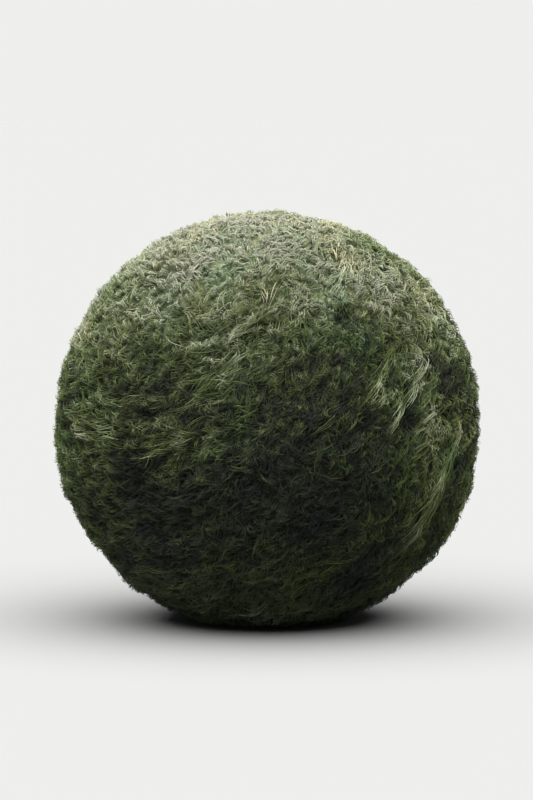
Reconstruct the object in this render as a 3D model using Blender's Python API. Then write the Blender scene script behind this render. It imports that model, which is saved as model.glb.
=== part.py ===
"""Marimo moss ball: one felted ball of algae filaments, 49 mm across, resting on a small flat spot.

The ball is a single solid whose skin reaches the tips of its filaments. Its relief is what the mat of
filaments shows from a step away: broad swells, locks of filaments lying one beside the other round the
ball, and small tufts between them. Metres, +Z up, with the origin at the middle of the spot it rests on.
"""

import math

import bmesh
import bpy
from mathutils import Vector, noise

# Driving dimensions
BALL_WIDTH = 0.0490  # along X, its longest way
BALL_DEPTH = 0.0484  # along Y
BALL_HEIGHT = 0.0474  # from the surface it rests on to its crown
REST_SPOT_RADIUS = 0.0080  # where its own weight presses it flat
SAG = 0.012  # how much wider it has settled below its middle, as a share of its width
PRESSED_EVEN = 0.0035  # its relief dies away over this height, down to the rest spot

# Relief of the mat: how high each kind of unevenness stands, and how far apart it comes
SWELL_HEIGHT = 0.00022
SWELL_SPACING = 0.0150
LOCK_HEIGHT = 0.00042
LOCK_WIDTH = 0.0031  # across a lock of filaments
LOCK_LENGTH = 0.0120  # along it
TUFT_HEIGHT = 0.00024
TUFT_SPACING = 0.0030

# The locks run round this axis, which comes out of the ball high on its left front
WHORL_AXIS = Vector((-0.53, -0.39, 0.75)).normalized()
WANDER = 0.15  # how far the locks stray from true circles round it
WANDER_SPACING = 0.0180
WANDER_START = Vector((0.8, 1.1, 8.6))  # where in the noise the straying is read
READINGS_APART = Vector((50.0, 50.0, 50.0))  # between its three readings, one for each direction in space

SIDE_CUTS = 21  # triangles along each side of the icosahedron that the ball's mesh starts from
SNAP = 0.00012  # a corner this close to the resting plane is drawn onto it

MOSS_GREEN = (0.055, 0.070, 0.036, 1.0)
MOSS_ROUGHNESS = 0.85

MEAN_RADIUS = (BALL_WIDTH + BALL_DEPTH + BALL_HEIGHT) / 6


def start_empty():
    for old in list(bpy.data.objects):
        bpy.data.objects.remove(old, do_unlink=True)


def moss_material():
    material = bpy.data.materials.new("moss")
    material.use_nodes = True
    shader = material.node_tree.nodes["Principled BSDF"]
    shader.inputs["Base Color"].default_value = MOSS_GREEN
    shader.inputs["Roughness"].default_value = MOSS_ROUGHNESS
    shader.inputs["Metallic"].default_value = 0.0
    return material


def unit_sphere():
    """A sphere of near-equal triangles: each face of an icosahedron in a fine grid, pushed out to radius 1."""
    sphere = bmesh.new()
    bmesh.ops.create_icosphere(sphere, subdivisions=1, radius=1.0)
    bmesh.ops.subdivide_edges(sphere, edges=sphere.edges[:], cuts=SIDE_CUTS - 1, use_grid_fill=True)
    for vertex in sphere.verts:
        vertex.co.normalize()
    return sphere


def stray_at(outward):
    """Which way the locks stray at a point of the ball, and how much.

    It is read from the plain noise, because the vector noise comes out differently in each run.
    """
    near = outward * (MEAN_RADIUS / WANDER_SPACING) + WANDER_START
    return Vector([noise.noise(near + reading * READINGS_APART) for reading in range(3)])


def along_the_lay(outward):
    """Where a point of the ball lies among the locks: across them first, then round the whorl they follow."""
    here = (outward + WANDER * stray_at(outward)).normalized()
    height_on_axis = max(-1.0, min(1.0, here.dot(WHORL_AXIS)))
    across = math.asin(height_on_axis) * MEAN_RADIUS / LOCK_WIDTH
    sideways = here - height_on_axis * WHORL_AXIS
    if sideways.length > 1e-9:
        sideways.normalize()
    first = WHORL_AXIS.orthogonal().normalized()
    second = WHORL_AXIS.cross(first)
    turn = MEAN_RADIUS / LOCK_LENGTH
    return Vector((across, sideways.dot(first) * turn, sideways.dot(second) * turn))


def relief(outward):
    """How far the mat stands out of a smooth ball in this direction."""
    swell = noise.noise(outward * (MEAN_RADIUS / SWELL_SPACING) + Vector((3.1, 0.7, 5.3)))
    lock = noise.noise(along_the_lay(outward))
    tuft = noise.noise(outward * (MEAN_RADIUS / TUFT_SPACING) + Vector((8.2, 4.6, 1.9)))
    return SWELL_HEIGHT * swell + LOCK_HEIGHT * lock + TUFT_HEIGHT * tuft


def settle(ball):
    """Gives the unit sphere its size, its relief and the slight sag of a soft ball under its own weight.

    Returns how far below the ball's centre it rests.
    """
    cut_depth = MEAN_RADIUS - math.sqrt(MEAN_RADIUS**2 - REST_SPOT_RADIUS**2)
    radii = Vector((BALL_WIDTH / 2, BALL_DEPTH / 2, (BALL_HEIGHT + cut_depth) / 2))
    depth = radii.z - cut_depth
    for vertex in ball.verts:
        outward = vertex.co.copy()
        wider = 1 + SAG * max(0.0, -outward.z) * (1 - outward.z**2)
        above_rest = outward.z * radii.z + depth
        raised = relief(outward) * min(1.0, max(0.0, above_rest / PRESSED_EVEN))
        vertex.co.x = outward.x * (radii.x * wider + raised)
        vertex.co.y = outward.y * (radii.y * wider + raised)
        vertex.co.z = outward.z * (radii.z + raised)
    return depth


def press_flat(ball, depth):
    """Cuts the ball at its resting plane, depth below its centre, and closes the cut with one flat face."""
    everything = ball.verts[:] + ball.edges[:] + ball.faces[:]
    cut = bmesh.ops.bisect_plane(
        ball,
        geom=everything,
        dist=SNAP,
        plane_co=Vector((0.0, 0.0, -depth)),
        plane_no=Vector((0.0, 0.0, 1.0)),
        use_snap_center=True,
        clear_inner=True,
    )
    rim = [piece for piece in cut["geom_cut"] if isinstance(piece, bmesh.types.BMEdge)]
    bmesh.ops.contextual_create(ball, geom=rim)


def fit_to_size(ball):
    """Scales and moves the ball to its exact width, depth and height, standing on its origin."""
    for axis, size in enumerate((BALL_WIDTH, BALL_DEPTH, BALL_HEIGHT)):
        places = [vertex.co[axis] for vertex in ball.verts]
        low, high = min(places), max(places)
        anchor = low if axis == 2 else (low + high) / 2
        for vertex in ball.verts:
            vertex.co[axis] = (vertex.co[axis] - anchor) * size / (high - low)


def moss_ball():
    ball = unit_sphere()
    depth = settle(ball)
    press_flat(ball, depth)
    fit_to_size(ball)
    bmesh.ops.recalc_face_normals(ball, faces=ball.faces[:])
    mesh = bpy.data.meshes.new("moss_ball")
    ball.to_mesh(mesh)
    ball.free()
    mesh.shade_smooth()
    mesh.set_sharp_from_angle(angle=math.radians(60))
    mesh.materials.append(moss_material())
    made = bpy.data.objects.new("moss_ball", mesh)
    bpy.context.scene.collection.objects.link(made)
    return made


start_empty()
moss_ball()
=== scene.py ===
# %% [markdown]
# # Dressing a marimo moss ball
# A marimo is a ball of freshwater algae. Its filaments are about a tenth of a millimetre thick, and water
# has rolled and felted them into a mat. The solid that is loaded here has the ball's size, its lumps and
# its flat spot. This lesson dresses it as a real one is made: a felt at the bottom, then layer on layer
# of filaments, each a thin closed tube of its own, combed round the ball in locks.

# %% Load the solid
import math

import bmesh
import bpy
import numpy as np
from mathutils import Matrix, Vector, noise
from mathutils.bvhtree import BVHTree


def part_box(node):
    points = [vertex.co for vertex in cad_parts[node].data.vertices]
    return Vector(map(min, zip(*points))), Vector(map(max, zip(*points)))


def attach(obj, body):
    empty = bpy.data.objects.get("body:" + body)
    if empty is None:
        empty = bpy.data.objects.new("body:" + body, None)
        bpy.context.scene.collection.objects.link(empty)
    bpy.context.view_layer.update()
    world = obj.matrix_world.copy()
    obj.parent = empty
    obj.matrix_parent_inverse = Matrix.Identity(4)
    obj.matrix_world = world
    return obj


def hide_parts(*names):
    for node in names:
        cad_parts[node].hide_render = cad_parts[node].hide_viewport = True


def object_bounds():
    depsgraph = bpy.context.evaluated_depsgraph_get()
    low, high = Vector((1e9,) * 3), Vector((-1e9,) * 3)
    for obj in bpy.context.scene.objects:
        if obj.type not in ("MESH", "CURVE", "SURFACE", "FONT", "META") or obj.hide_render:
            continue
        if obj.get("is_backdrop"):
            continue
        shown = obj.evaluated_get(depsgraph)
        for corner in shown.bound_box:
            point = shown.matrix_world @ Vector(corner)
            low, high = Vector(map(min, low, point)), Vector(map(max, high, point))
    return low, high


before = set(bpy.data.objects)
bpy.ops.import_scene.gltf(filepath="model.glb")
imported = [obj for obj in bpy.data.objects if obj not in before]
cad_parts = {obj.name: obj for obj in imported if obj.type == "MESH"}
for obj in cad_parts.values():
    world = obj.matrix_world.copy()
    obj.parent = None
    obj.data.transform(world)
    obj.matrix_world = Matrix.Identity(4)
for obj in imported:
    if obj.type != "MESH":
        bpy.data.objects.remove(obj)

MM = 0.001
solid_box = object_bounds()
low, high = (np.array(corner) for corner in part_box("moss_ball"))
ball_size = high - low
ball_middle = (low + high) / 2
MEAN_RADIUS = float(ball_size.mean() / 2)
print("ball, mm:", (ball_size / MM).round(1))

# %% [markdown]
# ## The camera
# The ball is looked at nearly level, from the front, as a thing on a table is. A long lens from far away
# keeps it round: a short lens would show less of its sides than it should. The lens is given with a
# vertical sensor, so that the frame's height, 800 pixels, is what the distance is worked out from.

# %% Camera
FRAME_WIDTH_PX = 533
FRAME_HEIGHT_PX = 800
BALL_WIDTH_PX = 424  # how wide the ball comes out in the frame
CAMERA_RISE = math.radians(5.0)  # how far the camera looks down
LENS = 180.0
SENSOR_HEIGHT = 36.0
SITS_LOWER = 0.02  # how far under the frame's middle the ball sits, as a share of the frame's height

frame_height = ball_size[0] * FRAME_HEIGHT_PX / BALL_WIDTH_PX
camera_distance = frame_height * LENS / SENSOR_HEIGHT
camera_way = Vector((0.0, -math.cos(CAMERA_RISE), math.sin(CAMERA_RISE)))
aim = Vector(ball_middle) + Vector((0.0, 0.0, SITS_LOWER * frame_height))

camera = bpy.data.objects.new("camera", bpy.data.cameras.new("camera"))
camera.data.sensor_fit = "VERTICAL"
camera.data.sensor_height = SENSOR_HEIGHT
camera.data.lens = LENS
camera.location = aim + camera_way * camera_distance
camera.rotation_euler = (-camera_way).to_track_quat("-Z", "Y").to_euler()
bpy.context.scene.collection.objects.link(camera)
bpy.context.scene.camera = camera
print(f"camera {camera_distance:.3f} m away, frame {FRAME_WIDTH_PX / BALL_WIDTH_PX:.2f} ball widths wide")

# %% [markdown]
# ## The light
# The light comes from straight above and only a little from the front, so the crown is pale and the
# underside is nearly black. A sun lamp with a very wide angle gives that: soft like a big cloth-covered
# lamp, and as strong on the far floor as on the near one, so the floor has no pool of light. The sky
# gives the weak fill. What the camera sees of it is painted as pale as the floor, which hides the line
# where the two meet.

# %% Light
KEY_WAY = Vector((-0.03, -0.13, 0.99)).normalized()  # from the ball towards the light
KEY_STRENGTH = 11.0
KEY_ANGLE = math.radians(95)
FILL_STRENGTH = 0.15
FILL_COLOR = (0.95, 0.98, 1.0, 1.0)
SEEN_SKY = (0.859, 0.861, 0.850, 1.0)

key = bpy.data.objects.new("key", bpy.data.lights.new("key", "SUN"))
key.data.energy = KEY_STRENGTH
key.data.angle = KEY_ANGLE
key.rotation_euler = (-KEY_WAY).to_track_quat("-Z", "Y").to_euler()
bpy.context.scene.collection.objects.link(key)

world = bpy.data.worlds.new("studio")
world.use_nodes = True
bpy.context.scene.world = world
sky = world.node_tree.nodes
fill_light = sky["Background"]
fill_light.inputs["Color"].default_value = FILL_COLOR
fill_light.inputs["Strength"].default_value = FILL_STRENGTH
seen_sky = sky.new("ShaderNodeBackground")
seen_sky.inputs["Color"].default_value = SEEN_SKY
either = sky.new("ShaderNodeMixShader")
ray = sky.new("ShaderNodeLightPath")
link_sky = world.node_tree.links.new
link_sky(ray.outputs["Is Camera Ray"], either.inputs["Fac"])
link_sky(fill_light.outputs["Background"], either.inputs[1])
link_sky(seen_sky.outputs["Background"], either.inputs[2])
link_sky(either.outputs["Shader"], sky["World Output"].inputs["Surface"])
bpy.context.scene.view_settings.view_transform = "Standard"
off_upright = math.degrees(KEY_WAY.angle(Vector((0, 0, 1))))
print(f"key light {math.degrees(KEY_ANGLE):.0f} degrees wide, {off_upright:.0f} degrees off upright")

# %% [markdown]
# ## The floor
# One plain sheet, wide enough to reach the horizon of every view. It is perfectly matt: a floor with any
# shine would be paler when seen from low down, and would then no longer match the sky behind it.

# %% Floor
FLOOR_COLOR = (0.238, 0.238, 0.235, 1.0)
FLOOR_SIZE = 6.0

half = FLOOR_SIZE / 2
floor_mesh = bpy.data.meshes.new("floor")
floor_corners = [(-half, -half, 0), (half, -half, 0), (half, half, 0), (-half, half, 0)]
floor_mesh.from_pydata(floor_corners, [], [(0, 1, 2, 3)])
floor = bpy.data.objects.new("floor", floor_mesh)
bpy.context.scene.collection.objects.link(floor)
floor_paint = bpy.data.materials.new("floor_paint")
floor_paint.use_nodes = True
paint = floor_paint.node_tree.nodes["Principled BSDF"].inputs
paint["Base Color"].default_value = FLOOR_COLOR
paint["Roughness"].default_value = 1.0
paint["Specular IOR Level"].default_value = 0.0
floor_mesh.materials.append(floor_paint)
floor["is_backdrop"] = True
print("floor:", FLOOR_SIZE, "m square")

# %% [markdown]
# ## Finding the surface of the solid
# Every piece here has to sit on the ball, so it has to know how far the solid reaches in a given
# direction. The radius of a plain sphere would miss the lumps and the flat spot. A ray from the middle of
# the ball finds the real surface, and Blender's BVH tree answers more than a quarter of a million such
# rays in a few seconds.

# %% How far the ball reaches
NOT_NOTHING = 1e-12  # the least length that is divided by

solid = bpy.data.objects["moss_ball"]
solid_tree = BVHTree.FromPolygons(
    [vertex.co.copy() for vertex in solid.data.vertices],
    [tuple(face.vertices) for face in solid.data.polygons],
)
heart = Vector(ball_middle)


def unit(vectors):
    return vectors / np.maximum(np.linalg.norm(vectors, axis=-1, keepdims=True), NOT_NOTHING)


def reach(outward):
    """How far the solid's skin lies from the ball's middle, for each row of directions."""
    flat = outward.reshape(-1, 3)
    found = [solid_tree.ray_cast(heart, Vector(way))[3] or MEAN_RADIUS for way in flat.tolist()]
    return np.array(found).reshape(outward.shape[:-1])


print("reach to the crown, mm:", (reach(np.array([[0.0, 0.0, 1.0]])) / MM).round(2))

# %% [markdown]
# ## The lay of the filaments
# On the real ball the filaments lie along the surface, the way that hair lies round the crown of a head.
# They wind round one point high on the left of the front, and wander from true circles as they go. The
# solid's own locks follow the same rule, so the same few numbers are used here: the axis, and how far and
# how often the lay strays. A line of equal height on that axis is one turn of the winding, so the lay is
# at right angles to the way in which the height grows fastest, and that is measured by taking two short
# steps across the surface. The straying is three readings of the plain noise. Blender has a vector noise
# too, but it comes out differently each time that Blender is started, and then no two renders would show
# the same ball.

# %% The lay
WHORL_AXIS = unit(np.array([-0.53, -0.39, 0.75]))
WANDER = 0.15
WANDER_SPACING = 18 * MM
WANDER_START = np.array([0.8, 1.1, 8.6])  # where in the noise the straying is read
READINGS_APART = 50.0  # between its three readings, one for each direction in space
SHORT_STEP = 0.01  # of the two steps that measure how the height grows, in ball radii
BESIDE_AXIS = 1e-6  # so that there is a way across even right on the axis


def noise_at(places):
    return np.array([noise.noise(Vector(place)) for place in places.tolist()])


def noise_on_ball(outward, spacing, start):
    """The noise on the ball's surface, with its ups and downs this far apart, read from start on."""
    return noise_at(outward * (MEAN_RADIUS / spacing) + start)


def height_on_axis(outward):
    """How high each direction stands on the whorl's axis once the lay has wandered."""
    near = outward * (MEAN_RADIUS / WANDER_SPACING) + WANDER_START
    stray = np.stack([noise_at(near + READINGS_APART * reading) for reading in range(3)], axis=1)
    return unit(outward + WANDER * stray) @ WHORL_AXIS


def lay(outward):
    """The way that filaments point at each direction of the ball, as unit vectors along its surface."""
    across = unit(np.cross(outward, WHORL_AXIS + BESIDE_AXIS))
    up = np.cross(across, outward)
    here = height_on_axis(outward)
    slope_across = height_on_axis(unit(outward + SHORT_STEP * across)) - here
    slope_up = height_on_axis(unit(outward + SHORT_STEP * up)) - here
    steepest = across * slope_across[:, None] + up * slope_up[:, None]
    return unit(np.cross(outward, steepest))


right_side = lay(np.array([[1.0, 0.0, 0.0]]))[0]
print("on the right side of the ball the filaments point along", right_side.round(2))

# %% [markdown]
# ## Places on the front
# Noise makes a mat that could be any ball's. What makes it this one is a few places that stand out: a
# dark hollow right of the crown, a pale right side, some loose locks. Each is given as it is seen from
# the front, by how far it lies to the right of the middle and how far above it, and this turns that into
# a direction from the ball's middle.

# %% Where a place is
def seen_at(right, up):
    """The direction from the ball's middle to what the camera sees this far right and up, in ball radii."""
    towards = math.sqrt(max(0.0, 1 - right * right - up * up))
    tilt_in, tilt_up = math.sin(CAMERA_RISE), math.cos(CAMERA_RISE)
    return np.array([right, up * tilt_in - towards * tilt_up, up * tilt_up + towards * tilt_in])


def nearness(outward, right, up, size):
    """1 at the place seen this far right and up, and less the further from it. size is in degrees."""
    away = np.degrees(np.arccos(np.clip(outward @ seen_at(right, up), -1, 1)))
    return np.exp(-0.5 * (away / size) ** 2)


print("the camera looks at the ball's side from", seen_at(0.0, 0.0).round(3))

# %% [markdown]
# ## Combed and ruffled
# Most of the mat is combed along the lay. Round the whorl's axis nothing is, and right of the crown and
# low on the front it has been ruffled since. One number says how well each place is combed, and both the
# clumps and the locks ask for it.

# %% How well it is combed
STILL_MIDDLE = math.cos(math.radians(12))  # nearer the whorl's axis than this, nothing is combed
COMBED_FROM = math.cos(math.radians(45))  # further from it than this, everything is
RUFFLED = [  # how far right and up each place is, in ball radii; how wide, in degrees; how ruffled
    (0.32, 0.55, 20, 0.8),
    (0.12, -0.28, 17, 0.7),
]


def combed_at(outward):
    """1 where the mat is combed, and down to 0 where it isn't."""
    combed = np.interp(outward @ WHORL_AXIS, [COMBED_FROM, STILL_MIDDLE], [1.0, 0.0])
    for right, up, size, ruffled in RUFFLED:
        combed *= 1 - ruffled * nearness(outward, right, up, size)
    return combed


for place, right, up in (("whorl", -0.5, 0.7), ("left", -0.5, 0.0), ("right of the crown", 0.3, 0.6)):
    print(f"combed at the {place}: {combed_at(seen_at(right, up)[None])[0]:.2f}")

# %% [markdown]
# ## Clumps
# A real mat isn't even. Wet filaments cling together in clumps about a millimetre wide, with dark gaps
# between them. Every layer here rises over the same clumps and sinks into the same gaps, so the clumps
# are one function of the direction. Where the mat is combed they are strokes along the lay, from a noise
# that is read in stretched coordinates, which count across the lay and along it. Where it isn't they are
# pebbles, from an even noise. A few deeper hollows, where the mat has come apart, are set where this ball
# has them.

# %% How high the clumps stand
CLUMP_WIDTH = 1.1 * MM
CLUMP_LENGTH = 3.0 * MM
CLUMP_HEIGHT = 0.38 * MM
CLUMP_LEAST = 0.4  # how high strokes stand where nothing is combed, as a share of their height elsewhere
PEBBLE_SPACING = 1.0 * MM
PEBBLE_START = 9.0  # where in the noise the pebbles are read
PEBBLE_HEIGHT = 0.30 * MM
PEBBLE_LEAST = 0.4  # how high pebbles stand where all is combed, as a share of their height elsewhere
HOLLOWS = [  # how far right and up each is, in ball radii; how wide, in degrees; how deep
    (0.38, 0.49, 2.4, 0.75 * MM),
    (0.48, 0.48, 2.0, 0.40 * MM),
    (0.68, 0.00, 3.2, 0.70 * MM),
    (0.83, 0.12, 4.2, 0.42 * MM),
    (0.31, -0.41, 4.0, 0.30 * MM),
    (-0.76, 0.15, 6.0, 0.24 * MM),
]


def across_and_along(outward, width, length):
    """Coordinates that run across the lay in steps of width and along it in steps of length."""
    across = np.arcsin(np.clip(height_on_axis(outward), -1, 1)) * (MEAN_RADIUS / width)
    first = unit(np.cross(WHORL_AXIS, [0.0, 0.0, 1.0]))
    second = np.cross(WHORL_AXIS, first)
    round_it = unit(outward - (outward @ WHORL_AXIS)[:, None] * WHORL_AXIS)
    turn = MEAN_RADIUS / length
    return np.stack([across, round_it @ first * turn, round_it @ second * turn], axis=1)


def strokes_and_pebbles(outward):
    """The two parts of the clumps: how far each stands up or sinks at each direction."""
    combed = combed_at(outward)
    stroke = noise_at(across_and_along(outward, CLUMP_WIDTH, CLUMP_LENGTH))
    stroke *= CLUMP_HEIGHT * (CLUMP_LEAST + (1 - CLUMP_LEAST) * combed)
    pebble = noise_on_ball(outward, PEBBLE_SPACING, PEBBLE_START)
    pebble *= PEBBLE_HEIGHT * (1 - (1 - PEBBLE_LEAST) * combed)
    return stroke, pebble


def hollow_depth(outward):
    return sum(depth * nearness(outward, right, up, size) for right, up, size, depth in HOLLOWS)


def clumps(outward):
    """How far the mat stands up in a clump, above 0, or sinks in a gap, below 0."""
    flat = outward.reshape(-1, 3)
    stroke, pebble = strokes_and_pebbles(flat)
    return (stroke + pebble - hollow_depth(flat)).reshape(outward.shape[:-1])


def anywhere(seed, count=5000):
    """Directions all over the ball, to try a function on."""
    return unit(np.random.default_rng(seed).normal(size=(count, 3)))


trial = clumps(anywhere(seed=1))
print(f"clumps stand {trial.max() / MM:.2f} mm up, gaps sink {-trial.min() / MM:.2f} mm")

# %% [markdown]
# ## Pale places and dark places
# The crown is painted paler and the underside darker: painted light from above, and painted shade under
# the ball. On top of that the mat is mottled: in patches a few millimetres wide, and with places of its
# own that stand out on this ball, such as the pale right side and the dark low front, whose darkness is
# painted shade. Those places are a short list, each given by where it is seen from the front; the list
# also paints light on the crown and at the foot. What stands up is paler than the gaps and hollows beside
# it, a stroke more so than a pebble: painted light on the clumps and painted shade in the gaps. That is
# strongest in a band a little above the ball's middle. One function adds all of it up, and both the felt
# and every filament take their paleness from it, so no layer shows through another.

# %% How pale the mat is
PAINTED_LIGHT_WAY = unit(np.array([-0.30, -0.25, 0.92]))  # from the ball's middle to where the painted light is strongest
# painted light: the mat is painted paler towards the crown, as light from above makes it
PAINTED_LIGHT_PALER = 0.54
PAINTED_LIGHT_FALL = 1.5  # how steeply that painted light falls off away from there
# painted shade: the underside is painted darker
PAINTED_SHADE_DARKER = 0.05
PATCH_SPACING = 7 * MM
PATCH_START = 5.0  # where in the noise the patches are read
PATCH_PALER = 0.22
CLUMP_LIGHT_AND_SHADE = 0.26  # painted light on clumps and painted shade in gaps and hollows, for each millimetre that a clump stands up
RELIEF_SHADE_HEIGHT = 0.20  # how far above the ball's middle that painted light and shade is strongest, in ball radii
RELIEF_SHADE_WIDTH = 0.33
RELIEF_SHADE_MORE = 0.95  # how much more of that painted light and shade there is there
STROKE_SHARE = 1.2  # how much of this a stroke gets
PEBBLE_SHARE = 0.95  # and how much a pebble gets
MARKS = [  # how far right and up each is, in ball radii; how wide, in degrees; how much paler
    # painted light on the crown
    (0.09, 0.92, 24, 0.20),
    (0.16, 0.75, 9, -0.24),
    # painted light on the crown
    (-0.11, 0.83, 11, 0.36),
    (0.41, 0.66, 9, 0.42),
    (-0.55, 0.50, 11, 0.13),
    (-0.58, 0.24, 9, -0.24),
    (-0.30, 0.50, 7, -0.10),
    (-0.24, 0.36, 7, 0.10),
    (0.77, 0.50, 8, 0.36),
    (0.72, 0.03, 9, 0.32),
    (0.70, -0.12, 8, 0.16),
    (0.50, 0.17, 8, 0.13),
    (0.28, 0.48, 7, 0.14),
    (-0.43, -0.18, 6, 0.46),
    (0.33, 0.14, 11, -0.18),
    (0.16, 0.35, 9, -0.14),
    # painted shade on the lower front, this line and the next two
    (0.20, -0.25, 18, -0.24),
    (-0.54, -0.35, 11, -0.32),
    (0.00, -0.50, 20, -0.15),
    # painted light at the foot, as if bounced up from the floor
    (0.00, -0.88, 18, 0.19),
]


def paler_at(outward):
    """How much paler the mat is at each direction than a layer's own tone, painted light and shade
    included.
    """
    facing = outward @ PAINTED_LIGHT_WAY
    # painted light on the crown and painted shade on the underside
    total = PAINTED_LIGHT_PALER * np.maximum(facing, 0) ** PAINTED_LIGHT_FALL - PAINTED_SHADE_DARKER * np.maximum(-facing, 0)
    total += PATCH_PALER * noise_on_ball(outward, PATCH_SPACING, PATCH_START)
    relief_shade_band = np.exp(-0.5 * ((outward[..., 2] - RELIEF_SHADE_HEIGHT) / RELIEF_SHADE_WIDTH) ** 2)
    stroke, pebble = strokes_and_pebbles(outward)
    stands = STROKE_SHARE * stroke + PEBBLE_SHARE * pebble - hollow_depth(outward)
    # painted light on what stands up, and painted shade in the gaps and hollows
    total += (CLUMP_LIGHT_AND_SHADE + RELIEF_SHADE_MORE * relief_shade_band) * stands / MM
    for right, up, size, paler in MARKS:
        total += paler * nearness(outward, right, up, size)
    return total


for place, right, up in (("crown", 0.0, 0.9), ("middle", 0.0, 0.0), ("low front", 0.0, -0.6)):
    print(f"paler at the {place}: {paler_at(seen_at(right, up)[None])[0]:+.2f}")

# %% [markdown]
# ## The felt underneath
# Between the filaments of a real ball there is no hole: there are more filaments, felted so tightly that
# they look like dark cloth. Thousands of tubes could fill that depth, but nobody would see them. A closed
# skin a little way inside the solid's surface does it, as long as it has the clumps and gaps too, so that
# every gap ends on something uneven. It starts as an icosahedron with each face cut into a fine grid,
# which gives triangles of one size. Two values are kept at each of its points for the finish: where it
# lies among the threads, and how pale it is.

# %% Felt
FELT_DEPTH = 0.95 * MM  # how far it lies under the solid's surface
FELT_CUTS = 70  # triangles along each side of the icosahedron
THREAD_WIDTH = 0.9 * MM
THREAD_LENGTH = 4.0 * MM
FLOOR_GAP = 0.05 * MM  # nothing comes nearer to the floor than this


def felt_mesh():
    sphere = bmesh.new()
    bmesh.ops.create_icosphere(sphere, subdivisions=1, radius=1.0)
    bmesh.ops.subdivide_edges(sphere, edges=sphere.edges[:], cuts=FELT_CUTS - 1, use_grid_fill=True)
    mesh = bpy.data.meshes.new("felt")
    sphere.to_mesh(mesh)
    sphere.free()
    outward = np.empty(len(mesh.vertices) * 3)
    mesh.vertices.foreach_get("co", outward)
    outward = unit(outward.reshape(-1, 3))
    radius = reach(outward) - FELT_DEPTH + clumps(outward)
    places = ball_middle + outward * radius[:, None]
    places[:, 2] = np.maximum(places[:, 2], FLOOR_GAP)
    mesh.vertices.foreach_set("co", places.ravel())
    threads = mesh.attributes.new("threads", "FLOAT_VECTOR", "POINT")
    counted = across_and_along(outward, THREAD_WIDTH, THREAD_LENGTH)
    threads.data.foreach_set("vector", counted.astype(np.float32).ravel())
    paler = mesh.attributes.new("paler", "FLOAT", "POINT")
    paler.data.foreach_set("value", paler_at(outward).astype(np.float32))
    mesh.shade_smooth()
    return mesh


felt = bpy.data.objects.new("felt", felt_mesh())
bpy.context.scene.collection.objects.link(felt)
print("felt:", len(felt.data.polygons), "triangles")

# %% [markdown]
# ## The finish of the felt
# Deep in the mat hardly any light gets in, and the felt doesn't shade itself, so it is painted a dark
# grey green: painted shade. Threads of lighter olive run along the lay. A noise that is read at the
# mesh's "threads" value comes out as streaks that bend round the ball with the filaments, and a plain
# noise in object space breaks them up. The "paler" value, which carries the mat's painted light and shade
# as well as its mottling, lifts or lowers the whole of it. The same streaks drive the bump and the
# roughness, and a wide noise turns the green here towards olive and there towards teal. A few helpers come
# first, which the filaments' finish needs too: to add a node, to feed the shader and to set a color ramp.

# %% Helpers for a finish
SHINE = 0.12  # how much of a plain smooth surface's shine the mat has


def new_material(name):
    """A material, a way to add nodes to it, and a way to feed its shader."""
    material = bpy.data.materials.new(name)
    material.use_nodes = True
    tree = material.node_tree

    def fill(socket, value):
        if isinstance(value, bpy.types.NodeSocket):
            tree.links.new(value, socket)
        else:
            socket.default_value = value

    def node(kind, *fed, **named):
        """A new node. What is fed goes into its inputs in order, the rest by name to input or setting."""
        made = tree.nodes.new(kind)
        for key_name, value in named.items():
            if key_name in made.inputs:
                fill(made.inputs[key_name], value)
            else:
                setattr(made, key_name, value)
        for socket, value in zip(made.inputs, fed):
            fill(socket, value)
        return made

    def feed_shader(color, rough, bump, sheen):
        inputs = tree.nodes["Principled BSDF"].inputs
        fill(inputs["Base Color"], color)
        fill(inputs["Roughness"], rough)
        fill(inputs["Normal"], bump)
        fill(inputs["Specular IOR Level"], SHINE)
        fill(inputs["Sheen Weight"], sheen)

    return material, node, feed_shader


def ramp(node, stops, interpolation="LINEAR"):
    """Sets a color ramp's stops: pairs of a position and a color."""
    elements = node.color_ramp.elements
    while len(elements) < len(stops):
        elements.new(0.5)
    for element, (position, color) in zip(elements, stops):
        element.position = position
        element.color = color
    node.color_ramp.interpolation = interpolation
    return node


print("a new material starts with", [node.name for node in floor_paint.node_tree.nodes])

# %% Felt material
# painted shade: these tones are kept dark, standing in for the shade deep in the mat
FELT_TONES = [  # how far up the ramp, and the color there
    (0.05, (0.008, 0.011, 0.005, 1.0)),
    (0.30, (0.028, 0.036, 0.018, 1.0)),
    (0.62, (0.088, 0.114, 0.050, 1.0)),
    (1.00, (0.176, 0.200, 0.108, 1.0)),
]
FELT_TINTS = [  # how far up the ramp, and what the color is multiplied by there
    (0.38, (1.10, 1.00, 0.90, 1.0)),
    (0.50, (1.00, 1.00, 1.00, 1.0)),
    (0.62, (0.90, 1.02, 1.04, 1.0)),
]
STREAKS_PER_THREAD = 4.5
BLOTS_PER_METRE = 1100.0
TINTS_PER_METRE = 150.0
BLOT_SHARE = 0.5  # how much the blots count beside the streaks
PALER_SHARE = 0.6  # how much of the mat's paleness the felt takes on
FELT_CONTRAST = (0.60, 0.95, 0.0, 0.62)  # streaks and blots run from, to; the tones for these two
FELT_ROUGH = (0.3, 0.7, 0.95, 0.70)  # streaks run from, to; the roughness for these two
FELT_BUMP = 0.3 * MM
FELT_SHEEN = 0.03


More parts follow.
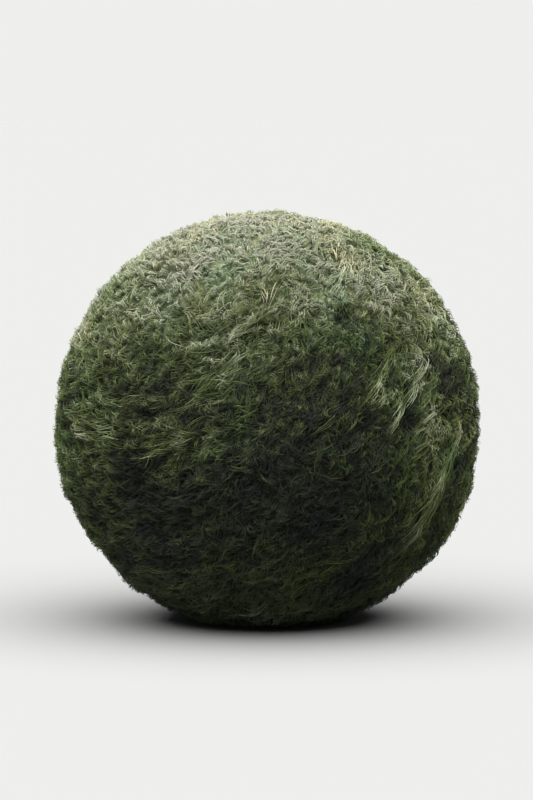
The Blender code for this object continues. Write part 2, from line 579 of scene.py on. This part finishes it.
def felt_material():
    material, node, feed_shader = new_material("felt")
    threads = node("ShaderNodeAttribute", attribute_name="threads").outputs["Vector"]
    streaks = node(
        "ShaderNodeTexNoise", threads, Scale=STREAKS_PER_THREAD, Detail=3.0, Roughness=0.6, Distortion=0.8
    ).outputs["Fac"]
    place = node("ShaderNodeTexCoord").outputs["Object"]
    blots = node("ShaderNodeTexNoise", place, Scale=BLOTS_PER_METRE, Detail=2.0, Roughness=0.6)
    both = node(
        "ShaderNodeMath", blots.outputs["Fac"], BLOT_SHARE, streaks, operation="MULTIPLY_ADD"
    ).outputs["Value"]
    contrast = node("ShaderNodeMapRange", both, *FELT_CONTRAST, clamp=False).outputs["Result"]
    paler = node("ShaderNodeAttribute", attribute_name="paler").outputs["Fac"]
    tone = node("ShaderNodeMath", paler, PALER_SHARE, contrast, operation="MULTIPLY_ADD").outputs["Value"]
    color = ramp(node("ShaderNodeValToRGB", tone), FELT_TONES).outputs["Color"]
    drift = node("ShaderNodeTexNoise", place, Scale=TINTS_PER_METRE, Detail=2.0).outputs["Fac"]
    tint = ramp(node("ShaderNodeValToRGB", drift), FELT_TINTS).outputs["Color"]
    tinted = node("ShaderNodeVectorMath", color, tint, operation="MULTIPLY").outputs["Vector"]
    rough = node("ShaderNodeMapRange", streaks, *FELT_ROUGH).outputs["Result"]
    bump = node("ShaderNodeBump", Strength=1.0, Distance=FELT_BUMP, Height=both).outputs["Normal"]
    feed_shader(tinted, rough, bump, FELT_SHEEN)
    return material


felt.data.materials.append(felt_material())
print("felt finish:", len(felt.data.materials[0].node_tree.nodes), "nodes")

# %% [markdown]
# ## One filament, and thousands
# A filament is a tube with three sides that tapers to a point, closed at its root. Curves with a bevel
# would give the same shape, but the finished piece has to be plain mesh, and making tens of thousands of
# curve objects is slow. So all the filaments of a layer are one mesh, and numpy works out every corner at
# once: a ring of three corners round each point of the path, and one corner at the tip. Each filament
# also gets a place on a UV map, which is a sheet of color swatches: across it by how pale the filament
# is, up it in one strip for each hue, and inside its strip from root to tip. The finish needs nothing
# else to know about a filament.

# %% The shape of a tube
SIDES = 3
TAPER_AT = (0, 0.3, 1)  # how far up a filament
TAPER = (0.8, 1.0, 0.55)  # and how thick it is there, before it closes in a point


def tube_faces(rings):
    """The faces of one filament: bands of quads, then triangles that close its tip and its root."""
    quads, fan = [], []
    for ring in range(rings - 1):
        for side in range(SIDES):
            beside = (side + 1) % SIDES
            below, above = ring * SIDES, (ring + 1) * SIDES
            quads.append((below + side, above + side, above + beside, below + beside))
    last = (rings - 1) * SIDES
    for side in range(SIDES):
        fan.append((last + side, last + SIDES, last + (side + 1) % SIDES))
    fan.append(tuple(range(SIDES)))
    return quads, fan


def tube_corners(paths, radius):
    """The corners of every filament: filaments by corners by 3."""
    count, points = paths.shape[:2]
    rings = points - 1
    along = unit(np.gradient(paths, axis=1))
    side = unit(np.cross(along, unit(paths - ball_middle)))
    up = np.cross(side, along)
    taper = np.interp(np.linspace(0, 1, points)[:rings], TAPER_AT, TAPER)
    thick = radius[:, None, None] * taper[None, :, None]
    corners = np.empty((count, rings * SIDES + 1, 3))
    for turn in range(SIDES):
        angle = math.pi / 2 + turn * 2 * math.pi / SIDES
        round_it = math.cos(angle) * side[:, :rings] + math.sin(angle) * up[:, :rings]
        corners[:, turn:-1:SIDES] = paths[:, :rings] + thick * round_it
    corners[:, -1] = paths[:, -1]
    corners[..., 2] = np.maximum(corners[..., 2], FLOOR_GAP)
    return corners


trial_quads, trial_fan = tube_faces(rings=3)
print("a filament of 4 points has", 2 * len(trial_quads) + len(trial_fan), "triangles")

# %% One mesh of tubes
SWATCH_WIDTH = 0.004  # how wide one filament lies on the UV map
SIDE_MARGIN = 0.02  # what is left free at the map's left and right
HUES = 5
STRIP_MARGIN = 0.06  # what is left free at the ends of a hue's strip, as a share of it


def swatches(tones, hues, points):
    """Where every corner of every filament lies on the UV map."""
    rings = points - 1
    places = np.empty((len(tones), rings * SIDES + 1, 2))
    start = SIDE_MARGIN + np.clip(tones, 0, 1) * (1 - 2 * SIDE_MARGIN - SWATCH_WIDTH)
    steps = (hues[:, None] + np.linspace(STRIP_MARGIN, 1 - STRIP_MARGIN, points)) / HUES
    places[:, :-1, 0] = start[:, None] + np.tile([0.0, SWATCH_WIDTH, SWATCH_WIDTH / 2], rings)
    places[:, :-1, 1] = np.repeat(steps[:, :rings], SIDES, axis=1)
    places[:, -1, 0] = start + SWATCH_WIDTH / 2
    places[:, -1, 1] = steps[:, -1]
    return places


def filaments(name, paths, radius, tones, hues):
    """One mesh of closed tubes. paths is filaments by points by 3, and the rest have one value for each."""
    count, points = paths.shape[:2]
    corners = tube_corners(paths, radius)
    quads, fan = tube_faces(points - 1)
    first = np.arange(count)[:, None, None] * corners.shape[1]
    quad_corners = (np.array(quads)[None] + first).reshape(-1)
    fan_corners = (np.array(fan)[None] + first).reshape(-1)
    corner_of_loop = np.concatenate([quad_corners, fan_corners])
    quad_count, fan_count = len(quad_corners) // 4, len(fan_corners) // 3
    starts = np.concatenate([np.arange(quad_count) * 4, quad_count * 4 + np.arange(fan_count) * 3])

    mesh = bpy.data.meshes.new(name)
    mesh.vertices.add(count * corners.shape[1])
    mesh.vertices.foreach_set("co", corners.astype(np.float32).ravel())
    mesh.loops.add(len(corner_of_loop))
    mesh.loops.foreach_set("vertex_index", corner_of_loop.astype(np.int32))
    mesh.polygons.add(len(starts))
    mesh.polygons.foreach_set("loop_start", starts.astype(np.int32))
    uv = mesh.uv_layers.new(name="OFBake", do_init=False)
    places = swatches(tones, hues, points).reshape(-1, 2)
    uv.uv.foreach_set("vector", places[corner_of_loop].astype(np.float32).ravel())
    mesh.update(calc_edges=True)
    mesh.validate()
    mesh.shade_smooth()
    made = bpy.data.objects.new(name, mesh)
    bpy.context.scene.collection.objects.link(made)
    print(f"{name}: {count} filaments, {quad_count * 2 + fan_count} triangles")
    return made


trial = swatches(tones=np.array([0.5]), hues=np.array([0]), points=4)[0]
print("a half pale filament lies on the map from", trial.min(axis=0), "to", trial.max(axis=0))

# %% [markdown]
# ## Locks
# Filaments cling together in locks: a few that start side by side and come together at the tip. What the
# eye reads from a step away is the locks, not the filaments. So a lock is drawn first, as one line that
# runs along the lay and strays from it by an angle of its own. Where the mat isn't combed the locks are
# shorter and stray more. If they started at random places they would leave bare spots. So they start on a
# spiral, set out like the seeds of a sunflower, and each is then moved a little at random, which hides
# the spiral.

# %% Lines of locks
RUFFLED_STRAY = 2.2  # how much more the locks stray where nothing is combed
RUFFLED_LENGTH = 0.6  # how long they are there, as a share of their length elsewhere
LENGTH_VARIES = (0.7, 1.3)  # how long each lock is, as a share of what is asked for
GOLDEN_ANGLE = math.pi * (3 - math.sqrt(5))
SCATTER = 0.35  # how far each lock is moved from its even place, as a share of the distance between two


def scattered(rng, count, clear=0.0):
    """Directions spread evenly over the ball but not in rows, none nearer the whorl's axis than clear."""
    drawn = math.ceil(count * 2 / (1 + math.cos(clear)))
    seed = np.arange(drawn) + 0.5
    up = 1 - 2 * seed / drawn
    turn = seed * GOLDEN_ANGLE
    flat = np.sqrt(1 - up * up)
    spiral = np.stack([flat * np.cos(turn), flat * np.sin(turn), up], axis=1)
    spiral = spiral @ np.linalg.qr(rng.normal(size=(3, 3)))[0]
    spiral = unit(spiral + rng.normal(0, SCATTER * math.sqrt(4 * math.pi / drawn), spiral.shape))
    return rng.permutation(spiral[spiral @ WHORL_AXIS <= math.cos(clear)])


def lock_lines(rng, count, length, steps, stray, curl, clear=0.0):
    """Guide lines along the lay, as unit directions: locks by steps + 1 by 3."""
    here = scattered(rng, count, clear)
    count = len(here)
    combed = combed_at(here)
    angle = rng.normal(0, stray, count) * (1 + RUFFLED_STRAY * (1 - combed))
    bend = rng.normal(0, curl, count)
    reach_on = RUFFLED_LENGTH + (1 - RUFFLED_LENGTH) * combed
    step = length * reach_on * rng.uniform(*LENGTH_VARIES, count) / steps / MEAN_RADIUS
    line = [here]
    for _ in range(steps):
        along = lay(here)
        side = np.cross(here, along)
        heading = along * np.cos(angle)[:, None] + side * np.sin(angle)[:, None]
        here = unit(here + heading * step[:, None])
        angle = angle + bend
        line.append(here)
    return np.stack(line, axis=1)


trial_dice = np.random.default_rng(2)
trial_lines = lock_lines(trial_dice, count=500, length=4 * MM, steps=4, stray=0.3, curl=0.1)
ends = np.linalg.norm(trial_lines[:, -1] - trial_lines[:, 0], axis=1) * MEAN_RADIUS / MM
print(f"locks asked to be 4 mm long reach {ends.min():.1f} to {ends.max():.1f} mm")

# %% [markdown]
# ## Filaments in a lock
# Each filament follows its lock's line. It starts to one side of it, is drawn in towards it at the tip,
# and has a wave and a lean of its own. Its root dives into the felt, its back arches up to the height
# that its layer has, and all of it rides over the clumps.

# %% Filaments in locks
GATHER_LATE = 1.3  # above 1, a lock gathers mostly near its tip
WAVES = (0.6, 1.4)  # how many waves a filament has
STAGGER = 0.35  # how far it is moved along its lock, as a share of the lock's length
LOCKS_RISE = 0.5  # how much of the rise goes to whole locks
OWN_RISE = 0.5  # and how much to each filament by itself
ARCH_AT = (0, 0.22, 0.5, 1)  # how far up a filament
ARCH = (0, 0.75, 1)  # and how high it stands there, from its root at 0 to its back at 1
TIP_LATE = 3  # the more, the nearer to the tip the filaments part in height


def in_locks(rng, lines, per_lock, spread, gather, splay, wave, lift, rise, dive, tip, end=0.6):
    """The paths of the filaments in each lock. Heights are measured from the solid's surface.

    spread is how far they start to the side, gather how much of that they lose by the tip, splay the angle
    of their lean and wave how far they swing. lift is the height of a filament's back, rise how much that
    varies, dive the height of its root, end how much of the way up its tip lies, tip how much that varies.
    """
    locks, points = lines.shape[:2]
    which = np.repeat(np.arange(locks), per_lock)
    count = len(which)
    share = np.linspace(0, 1, points)
    line = lines[which]
    along = unit(np.gradient(line, axis=1))
    side = np.cross(line, along)
    span = np.linalg.norm(lines[:, -1] - lines[:, 0], axis=1)[which] * MEAN_RADIUS

    beside = rng.normal(0, spread, count)[:, None] * (1 - gather * share**GATHER_LATE)
    beside = beside + span[:, None] * share * np.tan(rng.normal(0, splay, count))[:, None]
    phase = rng.uniform(0, 2 * math.pi, count)
    waves = rng.uniform(*WAVES, count)
    beside = beside + wave * np.sin(phase[:, None] + 2 * math.pi * waves[:, None] * share)
    shift = rng.uniform(-STAGGER, STAGGER, count) * span
    outward = unit(line + (side * beside[..., None] + along * shift[:, None, None]) / MEAN_RADIUS)

    lock_lift = rng.normal(0, LOCKS_RISE, locks)[which]
    back = lift + rise * (lock_lift + rng.normal(0, OWN_RISE, count))
    height = np.interp(share, ARCH_AT, (*ARCH, end))
    height = dive + (back[:, None] - dive) * height
    height = height + tip * (share**TIP_LATE)[None, :] * rng.uniform(-1, 1, count)[:, None]
    radius = reach(outward) + height + clumps(outward)
    paths = ball_middle + outward * radius[..., None]
    paths[..., 2] = np.maximum(paths[..., 2], 2 * FLOOR_GAP)
    return paths, which


trial, _ = in_locks(
    np.random.default_rng(5), trial_lines[:1], per_lock=200,
    spread=0.26 * MM, gather=0.4, splay=0.0, wave=0.0, lift=0.0, rise=0.0, dive=-1.0 * MM, tip=0.0,
)
root_scatter, tip_scatter = (trial[:, point].std(axis=0).max() / MM for point in (0, -1))
print(f"a lock's filaments scatter {root_scatter:.2f} mm at the root and {tip_scatter:.2f} mm at the tip")

# %% [markdown]
# ## The finish of the filaments
# A living filament is a dark bottle green, and an old or dry one fades to a grey sage. Those at the foot
# are painted slate with hardly any green, which is painted shade. Each is darker at its root, where
# others shade it. Cloth shaders often read a random value for each object, but here thousands of
# filaments are one object, so the UV map tells them apart. One ramp reads across it for the paleness. A
# second reads up it for the hue: green, olive, teal, grey or slate. How far up its strip a point lies
# darkens the root, and a fine noise on the same map adds the joints and blotches.

# %% Filament material
TONES = [  # how far across the UV map, and the color there
    (0.00, (0.0115, 0.0132, 0.0093, 1.0)),
    (0.25, (0.0256, 0.0350, 0.0173, 1.0)),
    (0.42, (0.0545, 0.0795, 0.0190, 1.0)),
    (0.55, (0.083, 0.118, 0.031, 1.0)),
    (0.80, (0.210, 0.246, 0.130, 1.0)),
    (1.00, (0.390, 0.410, 0.290, 1.0)),
]
TINTS = [  # how far up the UV map each hue's strip begins, and what the hue multiplies the color by
    (0.00, (1.00, 1.00, 1.00, 1.0)),
    (0.20, (1.12, 1.00, 0.90, 1.0)),
    (0.40, (0.89, 1.02, 0.99, 1.0)),
    (0.60, (1.05, 0.98, 1.10, 1.0)),
    # painted shade: the slate hue, which the shaded foot is given
    (0.80, (1.11, 0.98, 1.60, 1.0)),
]
JOINTS_ACROSS = 160.0  # noise across the whole map
JOINTS_ALONG = 9.0  # and along one filament
ROOT_SHADE = (0.0, 1.0, 0.55, 1.15)  # from root to tip, and how light it is at these two
BLOTCHES = (0.25, 0.75, 0.70, 1.30)  # the noise runs from, to; how light that makes the filament
MOSS_ROUGH = (0.0, 1.0, 0.55, 0.90)  # the noise runs from, to; the roughness for these two
MOSS_BUMP = 0.02 * MM
MOSS_SHEEN = 0.05


def filament_material():
    material, node, feed_shader = new_material("filaments")
    place = node("ShaderNodeUVMap", uv_map="OFBake").outputs["UV"]
    parts = node("ShaderNodeSeparateXYZ", place)
    across, up = parts.outputs["X"], parts.outputs["Y"]
    tone = ramp(node("ShaderNodeValToRGB", across), TONES).outputs["Color"]
    tint = ramp(node("ShaderNodeValToRGB", up), TINTS, "CONSTANT").outputs["Color"]
    tinted = node("ShaderNodeVectorMath", tone, tint, operation="MULTIPLY").outputs["Vector"]

    strips = node("ShaderNodeMath", up, HUES, operation="MULTIPLY").outputs["Value"]
    from_root = node("ShaderNodeMath", strips, operation="FRACT").outputs["Value"]
    root_light = node("ShaderNodeMapRange", from_root, *ROOT_SHADE).outputs["Result"]
    stretched = node("ShaderNodeMapping", place, Scale=(JOINTS_ACROSS, JOINTS_ALONG * HUES, 1.0))
    joints = node(
        "ShaderNodeTexNoise", stretched.outputs["Vector"], Scale=1.0, Detail=2.0, Roughness=0.5
    ).outputs["Fac"]
    blotch_light = node("ShaderNodeMapRange", joints, *BLOTCHES).outputs["Result"]
    light = node("ShaderNodeMath", root_light, blotch_light, operation="MULTIPLY").outputs["Value"]
    shaded = node("ShaderNodeVectorMath", tinted, operation="SCALE", Scale=light).outputs["Vector"]
    rough = node("ShaderNodeMapRange", joints, *MOSS_ROUGH).outputs["Result"]
    bump = node("ShaderNodeBump", Strength=0.3, Distance=MOSS_BUMP, Height=joints).outputs["Normal"]
    feed_shader(shaded, rough, bump, MOSS_SHEEN)
    return material


moss = filament_material()
print("filament finish:", len(moss.node_tree.nodes), "nodes,", len(TONES), "tones and", len(TINTS), "hues")

# %% [markdown]
# ## A hue for each filament
# The hues come in patches too, since filaments of one age grow together. Each hue gets a score at each
# place, from a wide noise of its own and from a short list of places where this ball shows it, and the
# best score wins. Slate, which is painted shade for the foot, starts so far behind that it hardly wins
# but at the foot, where the list favors it. A little chance is added for each filament, so that strays of
# other hues are mixed into every patch.

# %% Which hue
GREEN, OLIVE, TEAL, GREY, SHADE_SLATE = range(HUES)
HUE_SPACING = 6 * MM
HUES_APART = 20.0  # between the places in the noise where two hues are read
OWN_HUE = 0.16  # how much of a filament's hue is chance
HUE_FAVOR = (0.34, 0.0, -0.04, 0.02, -1.0)  # a head start for each hue
HUE_MARKS = [  # how far right and up, in ball radii; how wide, in degrees; the hue; its head start there
    (0.80, 0.48, 12, OLIVE, 0.4),
    (-0.80, 0.20, 10, OLIVE, 0.3),
    (0.00, 0.35, 14, OLIVE, 0.2),
    (-0.05, 0.85, 20, GREY, 0.35),
    (0.45, 0.40, 9, TEAL, 0.5),
    (0.85, 0.05, 8, TEAL, 0.4),
    (-0.50, 0.62, 10, GREY, 0.3),
    (-0.42, -0.20, 12, GREY, 0.7),
    (-0.62, -0.45, 14, GREY, 0.4),
    (0.10, -0.12, 9, GREY, 0.3),
    # painted shade: this line and the next two turn the foot grey and slate
    (-0.10, -0.75, 20, GREY, 0.35),
    (0.00, -0.97, 34, SHADE_SLATE, 2.7),
    (-0.50, -0.70, 10, SHADE_SLATE, 1.5),
    (0.45, -0.50, 14, TEAL, 0.3),
    (0.76, -0.38, 9, GREY, 0.5),
]


def hues_of(rng, middles):
    """Which of the hues each filament has."""
    scores = np.empty((len(middles), HUES))
    for hue in range(HUES):
        patches = noise_on_ball(middles, HUE_SPACING, HUES_APART * (hue + 1))
        scores[:, hue] = HUE_FAVOR[hue] + patches + rng.gumbel(0, OWN_HUE, len(middles))
    for right, up, size, hue, more in HUE_MARKS:
        scores[:, hue] += more * nearness(middles, right, up, size)
    return scores.argmax(axis=1)


trial = hues_of(np.random.default_rng(3), anywhere(seed=4))
shares = np.bincount(trial, minlength=HUES) / len(trial)
print("share of green, olive, teal, grey and slate:", shares.round(2))

# %% [markdown]
# ## One layer
# A layer is many locks with the same length, stray and height, and a tone of its own that the pale and
# dark places are added to. By chance some locks, and some filaments in each lock, are paler than the
# others. Wet filaments look more alike, so low on the ball they differ less. Each layer has its own
# seeded dice, so it comes out the same every time, and changing one layer doesn't disturb another.

# %% Grow a layer
WET_ALIKE = 0.6  # how much wet filaments differ in tone, as a share of how much dry ones do
WET_BELOW = -0.6  # how high above the ball's middle they are all wet, in ball radii
DRY_ABOVE = 0.1  # and how high they are all dry
THICKNESS_VARIES = (0.75, 1.25)  # how thick each filament is, as a share of what is asked for


def grown(name, rng, lines, per_lock, thickness, tone, locks_differ, own_differs, **lie):
    """One piece of filaments that follow the given lines.

    tone is how pale they are, the same for all or one value for each line, locks_differ how much their
    locks differ from that, and own_differs how much each filament differs from its lock.
    """
    paths, which = in_locks(rng, lines, per_lock, **lie)
    middles = unit(paths[:, paths.shape[1] // 2] - ball_middle)
    differs = rng.normal(0, locks_differ, len(lines))[which] + rng.normal(0, own_differs, len(which))
    differs *= np.interp(middles[:, 2], [WET_BELOW, DRY_ABOVE], [WET_ALIKE, 1.0])
    tones = paler_at(middles) + np.broadcast_to(tone, len(lines))[which] + differs
    radius = thickness / 2 * rng.uniform(*THICKNESS_VARIES, len(which))
    made = filaments(name, paths, radius, tones, hues_of(rng, middles))
    made.data.materials.append(moss)
    return made


def layer(name, seed, line, **rest):
    """A layer that covers the ball. line holds what lock_lines asks for."""
    rng = np.random.default_rng(seed)
    return grown(name, rng, lock_lines(rng, **line), **rest)


for place, up in (("crown", 0.95), ("middle", 0.0), ("foot", -0.95)):
    print(f"a layer of tone 0.40 has {0.40 + paler_at(seen_at(0.0, up)[None])[0]:.2f} at the {place}")

# %% [markdown]
# ## The combed locks
# The lowest filaments that can be seen are long and well combed, since the ball has been rolled over them
# for years. They lie in two layers, the lower one darker, and close the mat above the felt.

# %% Combed locks
combed_low = layer(
    "combed_locks_low", seed=12,
    line=dict(count=1480, length=3.6 * MM, steps=4, stray=0.35, curl=0.12), per_lock=6,
    thickness=0.115 * MM, tone=0.30, locks_differ=0.06, own_differs=0.05,
    spread=0.26 * MM, gather=0.4, splay=0.12, wave=0.08 * MM,
    lift=-0.45 * MM, rise=0.16 * MM, dive=-1.1 * MM, tip=0.1 * MM,
)
combed_high = layer(
    "combed_locks_high", seed=13,
    line=dict(count=1200, length=3.0 * MM, steps=4, stray=0.40, curl=0.14), per_lock=5,
    thickness=0.100 * MM, tone=0.35, locks_differ=0.06, own_differs=0.06,
    spread=0.20 * MM, gather=0.5, splay=0.12, wave=0.08 * MM,
    lift=-0.25 * MM, rise=0.14 * MM, dive=-1.0 * MM, tip=0.12 * MM,
)

# %% [markdown]
# ## The nap
# Over them stands the nap, the short growing ends of countless filaments. It is what makes the ball look
# like felt and not like hay, so it has to be dense, and each filament can only have a few triangles:
# three points, bent once. There are two layers again. The lower one follows the lay more closely than the
# upper one.

# %% Nap
nap_low = layer(
    "nap_low", seed=14,
    line=dict(count=4500, length=1.6 * MM, steps=2, stray=0.55, curl=0.20), per_lock=4,
    thickness=0.098 * MM, tone=0.37, locks_differ=0.07, own_differs=0.06,
    spread=0.26 * MM, gather=0.5, splay=0.22, wave=0.07 * MM,
    lift=-0.20 * MM, rise=0.12 * MM, dive=-0.9 * MM, tip=0.10 * MM, end=0.95,
)
nap_high = layer(
    "nap_high", seed=19,
    line=dict(count=4500, length=1.2 * MM, steps=2, stray=0.75, curl=0.20), per_lock=4,
    thickness=0.088 * MM, tone=0.40, locks_differ=0.07, own_differs=0.07,
    spread=0.24 * MM, gather=0.6, splay=0.25, wave=0.06 * MM,
    lift=-0.06 * MM, rise=0.12 * MM, dive=-0.9 * MM, tip=0.10 * MM, end=1.0,
)

# %% [markdown]
# ## Tufts
# Small tufts stand out of the nap, four filaments each, which point every way and come together at their
# tips. They catch the light as fine specks all over the ball, and they give it its soft edge.

# %% Tufts
tufts = layer(
    "tufts", seed=15,
    line=dict(count=3000, length=0.9 * MM, steps=2, stray=1.1, curl=0.20), per_lock=4,
    thickness=0.080 * MM, tone=0.42, locks_differ=0.08, own_differs=0.08,
    spread=0.24 * MM, gather=0.7, splay=0.3, wave=0.05 * MM,
    lift=0.02 * MM, rise=0.12 * MM, dive=-0.9 * MM, tip=0.08 * MM, end=1.05,
)

# %% [markdown]
# ## Pale locks and long strands
# Away from the whorl's axis longer locks lie on top of the nap. They differ in tone from one to the next
# more than the locks below them do, so the palest of them stand out as strokes. A few strands have come
# loose in pairs. Both kinds follow the lay, and there are far fewer of them than of the rest, because
# they catch the eye at once.

# %% Pale locks and long strands
pale_locks = layer(
    "pale_locks", seed=18,
    line=dict(count=420, length=2.8 * MM, steps=4, stray=0.22, curl=0.10, clear=math.radians(30)),
    per_lock=6, thickness=0.100 * MM, tone=0.42, locks_differ=0.12, own_differs=0.05,
    spread=0.22 * MM, gather=0.5, splay=0.06, wave=0.06 * MM,
    lift=0.0, rise=0.08 * MM, dive=-1.0 * MM, tip=0.10 * MM,
)
long_strands = layer(
    "long_strands", seed=16,
    line=dict(count=150, length=5.0 * MM, steps=6, stray=0.32, curl=0.10), per_lock=2,
    thickness=0.10 * MM, tone=0.48, locks_differ=0.12, own_differs=0.08,
    spread=0.12 * MM, gather=0.4, splay=0.04, wave=0.10 * MM,
    lift=0.0, rise=0.08 * MM, dive=-0.9 * MM, tip=0.12 * MM,
)

# %% [markdown]
# ## Loose locks
# This ball has some long pale locks that can be told apart one by one: two that run down the right edge,
# some slanting strokes beside them, one right of the crown, and a few across the middle and the left. A
# noise can't place those, so each is a run of points, as seen from the front. A smooth curve follows
# them, and short lines are laid one after another along it, so that its filaments are staggered and no
# lock looks like a drawn line.

# %% Loose locks
LOOSE_LOCKS = [  # how pale each is, and the points that it follows, in ball radii to the right and up
    (0.54, [(0.89, -0.06), (0.83, -0.22), (0.75, -0.42), (0.64, -0.60)]),
    (0.47, [(0.84, -0.20), (0.77, -0.34), (0.70, -0.50), (0.59, -0.66)]),
    (0.30, [(0.83, 0.28), (0.78, 0.18), (0.74, 0.08), (0.70, -0.01)]),
    (0.51, [(0.75, 0.26), (0.69, 0.14), (0.63, 0.03), (0.56, -0.09)]),
    (0.46, [(0.60, 0.33), (0.56, 0.25), (0.51, 0.16), (0.45, 0.06)]),
    (0.44, [(0.40, 0.78), (0.38, 0.71), (0.35, 0.64), (0.31, 0.57)]),
    (0.46, [(-0.97, 0.02), (-0.90, 0.00), (-0.82, -0.02), (-0.74, -0.03)]),
    (0.42, [(-0.95, -0.06), (-0.88, -0.07), (-0.80, -0.08), (-0.71, -0.08)]),
    (0.42, [(-0.38, 0.07), (-0.28, 0.15), (-0.18, 0.24), (-0.09, 0.31)]),
    (0.43, [(-0.60, -0.17), (-0.52, -0.15), (-0.44, -0.13), (-0.36, -0.11)]),
    (0.38, [(-0.20, 0.33), (-0.13, 0.39), (-0.07, 0.44), (-0.02, 0.50)]),
]
LOOSE_STARTS = np.linspace(0, 0.6, 6)  # where along a run its lines start
LOOSE_SHARE = 0.4  # how much of the run each is long
LOOSE_STEPS = 4


def lines_through(runs):
    """Short smooth lines, one after another along each run of points: lines by steps + 1 by 3."""
    lines = []
    for _, run in runs:
        ways = np.array([seen_at(right, up) for right, up in run])
        curve = np.polynomial.polynomial.polyfit(np.linspace(0, 1, len(run)), ways, deg=2)
        for start in LOOSE_STARTS:
            share = start + LOOSE_SHARE * np.linspace(0, 1, LOOSE_STEPS + 1)
            lines.append(unit(np.polynomial.polynomial.polyval(share, curve).T))
    return np.stack(lines)


loose_tones = np.repeat([tone for tone, _ in LOOSE_LOCKS], len(LOOSE_STARTS))
loose_locks = grown(
    "loose_locks", np.random.default_rng(20), lines_through(LOOSE_LOCKS), per_lock=7,
    thickness=0.100 * MM, tone=loose_tones, locks_differ=0.09, own_differs=0.06,
    spread=0.30 * MM, gather=0.4, splay=0.14, wave=0.09 * MM,
    lift=0.02 * MM, rise=0.10 * MM, dive=-0.9 * MM, tip=0.10 * MM,
)

# %% [markdown]
# ## Joining the ball
# Each piece is attached to the body that it moves with, and the solid that they stand for is hidden. The
# ball has no joints, so there is one body. The box of the dressed ball is written beside the box of the
# solid, to show how little the filaments add to it.

# %% Ride, replace and finish
pieces = [felt, combed_low, combed_high, nap_low, nap_high, tufts, pale_locks, long_strands, loose_locks]
for piece in pieces:
    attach(piece, "root")
    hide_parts("moss_ball")
print(len(pieces), "pieces")

dressed_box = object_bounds()
for label, box in (("solid", solid_box), ("dressed", dressed_box)):
    print(f"{label} box, mm:", [[round(float(value) / MM, 2) for value in corner] for corner in box])
